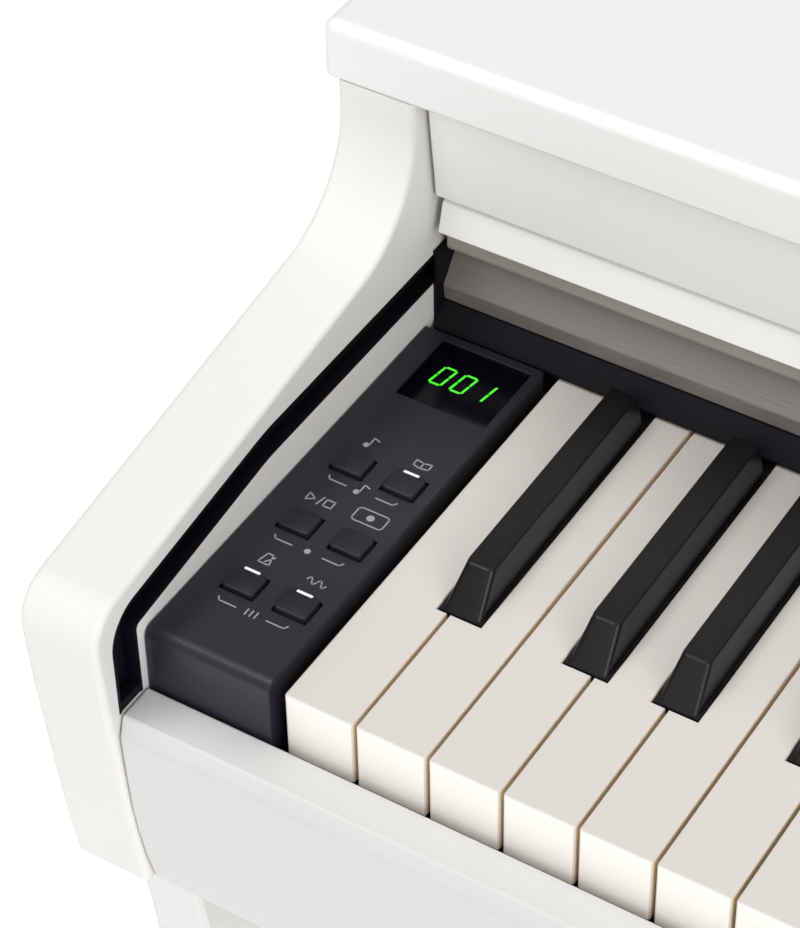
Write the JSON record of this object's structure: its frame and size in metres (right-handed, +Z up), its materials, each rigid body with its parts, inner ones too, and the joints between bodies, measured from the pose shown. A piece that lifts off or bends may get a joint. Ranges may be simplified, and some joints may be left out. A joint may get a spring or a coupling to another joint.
{
  "type": "digital piano on stand",
  "caption": "Upright-style digital piano with a full keyboard, side control panel, sliding key cover, folding music rest and a three-pedal stand.",
  "frame": {"origin": "on the floor, under the middle of the bounding box", "axes": "+X from the bass end to the treble end, +Y from the player to the wall, +Z up"},
  "size_m": [1.36, 0.405, 0.86],
  "materials": {
    "white_case": "satin white painted board with a faint grain",
    "raw_board": "plain light board behind and below the case",
    "taupe_trim": "satin taupe with fine lines along its length",
    "black_trim": "matte black",
    "panel_plastic": "fine-grained satin charcoal",
    "display_gloss": "smoked gloss window",
    "board_green": "circuit board",
    "speaker_cone": "paper cone with a rubber edge",
    "steel": "plain steel",
    "pedal_metal": "polished pedals",
    "adjuster_plastic": "black plastic on a steel thread",
    "key_white": "warm ivory-touch plastic",
    "key_black": "matte charcoal with satin edges"
  },
  "bodies": {
    "case": {"circuit_boards": "board_green", "connector_plate": "black_trim", "control_panel": "panel_plastic", "cover_guides": "black_trim", "display_window": "display_gloss", "feet": "white_case", "front_legs": "white_case", "glides": "black_trim", "headphone_hook": "steel", "jack_box": "black_trim", "key_back_rail": "black_trim", "key_chassis": "black_trim", "key_slip": "white_case", "keybed": "raw_board", "left_arm": "white_case", "music_rest_hinges": "steel", "nameboard": "taupe_trim", "pedal_board": "white_case", "pedal_housing": "white_case", "pedal_rod": "steel", "rear_panel": "raw_board", "right_arm": "white_case", "right_key_block": "panel_plastic", "side_panels": "white_case", "speaker_grilles": "black_trim", "speakers": "speaker_cone", "stand_back_board": "white_case", "stand_screws": "steel", "top_board": "white_case", "upper_front_panel": "white_case"},
    "cover_shaft_body": {"cover_shaft": "steel"},
    "cover_board": {"key_cover": "white_case", "cover_grip": "taupe_trim"},
    "rest_panel": {"music_rest": "white_case"},
    "rest_stay": {"music_rest_stay": "steel"},
    "soft_pedal_lever": {"soft_pedal": "pedal_metal"},
    "middle_pedal_lever": {"middle_pedal": "pedal_metal"},
    "damper_pedal_lever": {"damper_pedal": "pedal_metal"},
    "adjuster": {"adjuster_bolt": "adjuster_plastic"},
    "demo_button_cap": {"demo_button": "panel_plastic"},
    "lesson_button_cap": {"lesson_button": "panel_plastic"},
    "play_button_cap": {"play_button": "panel_plastic"},
    "record_button_cap": {"record_button": "panel_plastic"},
    "metronome_button_cap": {"metronome_button": "panel_plastic"},
    "sound_button_cap": {"sound_button": "panel_plastic"},
    "power_button_cap": {"power_button": "panel_plastic"},
    "volume_knob": {"volume_slider": "panel_plastic"},
    "key_a0": {"white_key_a0": "key_white"},
    "key_b0": {"white_key_b0": "key_white"},
    "key_c1": {"white_key_c1": "key_white"},
    "key_d1": {"white_key_d1": "key_white"},
    "key_e1": {"white_key_e1": "key_white"},
    "key_f1": {"white_key_f1": "key_white"},
    "key_g1": {"white_key_g1": "key_white"},
    "key_a_sharp_0": {"black_key_a_sharp_0": "key_black"},
    "key_c_sharp_1": {"black_key_c_sharp_1": "key_black"},
    "key_d_sharp_1": {"black_key_d_sharp_1": "key_black"},
    "key_f_sharp_1": {"black_key_f_sharp_1": "key_black"},
    "upper_white_keys": {"white_keys_upper": "key_white"},
    "upper_black_keys": {"black_keys_upper": "key_black"}
  },
  "joints": [
    {"name": "cover_slide", "type": "slide", "parent": "case", "child": "cover_shaft_body", "axis": [0, -1, 0], "range_m": [0, 0.165]},
    {"name": "cover_tilt", "type": "hinge", "parent": "cover_shaft_body", "child": "cover_board", "pos_m": [0, 0.172, 0.7594], "axis": [1, 0, 0], "range_deg": [0, 6.81]},
    {"name": "rest_fold", "type": "hinge", "parent": "case", "child": "rest_panel", "pos_m": [0, -0.004, 0.8517], "axis": [1, 0, 0], "range_deg": [0, 70]},
    {"name": "stay_fold", "type": "hinge", "parent": "rest_panel", "child": "rest_stay", "pos_m": [0, 0.086, 0.8517], "axis": [1, 0, 0], "range_deg": [-140, 0]},
    {"name": "soft_pedal_press", "type": "hinge", "parent": "case", "child": "soft_pedal_lever", "pos_m": [0, 0.0365, 0.066], "axis": [1, 0, 0], "range_deg": [0, 5.5], "stiffness_Nm_per_rad": 20, "springref_deg": -5.73},
    {"name": "middle_pedal_press", "type": "hinge", "parent": "case", "child": "middle_pedal_lever", "pos_m": [0, 0.0365, 0.066], "axis": [1, 0, 0], "range_deg": [0, 5.5], "stiffness_Nm_per_rad": 20, "springref_deg": -5.73},
    {"name": "damper_pedal_press", "type": "hinge", "parent": "case", "child": "damper_pedal_lever", "pos_m": [0, 0.0365, 0.066], "axis": [1, 0, 0], "range_deg": [0, 5.5], "stiffness_Nm_per_rad": 20, "springref_deg": -5.73},
    {"name": "adjuster_screw", "type": "slide", "parent": "case", "child": "adjuster", "axis": [0, 0, 1], "range_m": [0, 0.012]},
    {"name": "demo_button_press", "type": "slide", "parent": "case", "child": "demo_button_cap", "axis": [0, 0, -1], "range_m": [0, 0.001], "stiffness_N_per_m": 1500, "springref_m": -0.0004},
    {"name": "lesson_button_press", "type": "slide", "parent": "case", "child": "lesson_button_cap", "axis": [0, 0, -1], "range_m": [0, 0.001], "stiffness_N_per_m": 1500, "springref_m": -0.0004},
    {"name": "play_button_press", "type": "slide", "parent": "case", "child": "play_button_cap", "axis": [0, 0, -1], "range_m": [0, 0.001], "stiffness_N_per_m": 1500, "springref_m": -0.0004},
    {"name": "record_button_press", "type": "slide", "parent": "case", "child": "record_button_cap", "axis": [0, 0, -1], "range_m": [0, 0.001], "stiffness_N_per_m": 1500, "springref_m": -0.0004},
    {"name": "metronome_button_press", "type": "slide", "parent": "case", "child": "metronome_button_cap", "axis": [0, 0, -1], "range_m": [0, 0.001], "stiffness_N_per_m": 1500, "springref_m": -0.0004},
    {"name": "sound_button_press", "type": "slide", "parent": "case", "child": "sound_button_cap", "axis": [0, 0, -1], "range_m": [0, 0.001], "stiffness_N_per_m": 1500, "springref_m": -0.0004},
    {"name": "power_button_press", "type": "slide", "parent": "case", "child": "power_button_cap", "axis": [0, 0, -1], "range_m": [0, 0.001], "stiffness_N_per_m": 1500, "springref_m": -0.0004},
    {"name": "volume_slide", "type": "slide", "parent": "case", "child": "volume_knob", "axis": [0, 1, 0], "range_m": [-0.02, 0.02]},
    {"name": "key_a0_press", "type": "hinge", "parent": "case", "child": "key_a0", "pos_m": [0, 0.044, 0.724], "axis": [1, 0, 0], "range_deg": [0, 2.6], "stiffness_Nm_per_rad": 0.5, "springref_deg": -22.92},
    {"name": "key_b0_press", "type": "hinge", "parent": "case", "child": "key_b0", "pos_m": [0, 0.044, 0.724], "axis": [1, 0, 0], "range_deg": [0, 2.6], "stiffness_Nm_per_rad": 0.5, "springref_deg": -22.92},
    {"name": "key_c1_press", "type": "hinge", "parent": "case", "child": "key_c1", "pos_m": [0, 0.044, 0.724], "axis": [1, 0, 0], "range_deg": [0, 2.6], "stiffness_Nm_per_rad": 0.5, "springref_deg": -22.92},
    {"name": "key_d1_press", "type": "hinge", "parent": "case", "child": "key_d1", "pos_m": [0, 0.044, 0.724], "axis": [1, 0, 0], "range_deg": [0, 2.6], "stiffness_Nm_per_rad": 0.5, "springref_deg": -22.92},
    {"name": "key_e1_press", "type": "hinge", "parent": "case", "child": "key_e1", "pos_m": [0, 0.044, 0.724], "axis": [1, 0, 0], "range_deg": [0, 2.6], "stiffness_Nm_per_rad": 0.5, "springref_deg": -22.92},
    {"name": "key_f1_press", "type": "hinge", "parent": "case", "child": "key_f1", "pos_m": [0, 0.044, 0.724], "axis": [1, 0, 0], "range_deg": [0, 2.6], "stiffness_Nm_per_rad": 0.5, "springref_deg": -22.92},
    {"name": "key_g1_press", "type": "hinge", "parent": "case", "child": "key_g1", "pos_m": [0, 0.044, 0.724], "axis": [1, 0, 0], "range_deg": [0, 2.6], "stiffness_Nm_per_rad": 0.5, "springref_deg": -22.92},
    {"name": "key_a_sharp_0_press", "type": "hinge", "parent": "case", "child": "key_a_sharp_0", "pos_m": [0, 0.044, 0.724], "axis": [1, 0, 0], "range_deg": [0, 3], "stiffness_Nm_per_rad": 0.5, "springref_deg": -22.92},
    {"name": "key_c_sharp_1_press", "type": "hinge", "parent": "case", "child": "key_c_sharp_1", "pos_m": [0, 0.044, 0.724], "axis": [1, 0, 0], "range_deg": [0, 3], "stiffness_Nm_per_rad": 0.5, "springref_deg": -22.92},
    {"name": "key_d_sharp_1_press", "type": "hinge", "parent": "case", "child": "key_d_sharp_1", "pos_m": [0, 0.044, 0.724], "axis": [1, 0, 0], "range_deg": [0, 3], "stiffness_Nm_per_rad": 0.5, "springref_deg": -22.92},
    {"name": "key_f_sharp_1_press", "type": "hinge", "parent": "case", "child": "key_f_sharp_1", "pos_m": [0, 0.044, 0.724], "axis": [1, 0, 0], "range_deg": [0, 3], "stiffness_Nm_per_rad": 0.5, "springref_deg": -22.92},
    {"name": "upper_white_keys_press", "type": "hinge", "parent": "case", "child": "upper_white_keys", "pos_m": [0, 0.044, 0.724], "axis": [1, 0, 0], "range_deg": [0, 2.6], "stiffness_Nm_per_rad": 22.5, "springref_deg": -22.92},
    {"name": "upper_black_keys_press", "type": "hinge", "parent": "case", "child": "upper_black_keys", "pos_m": [0, 0.044, 0.724], "axis": [1, 0, 0], "range_deg": [0, 3], "stiffness_Nm_per_rad": 16, "springref_deg": -22.92}
  ],
  "couplings": [
    {"joint": "cover_tilt", "follows": "cover_slide", "rad_per_m": 0.72},
    {"joint": "stay_fold", "follows": "rest_fold", "ratio": -2}
  ]
}
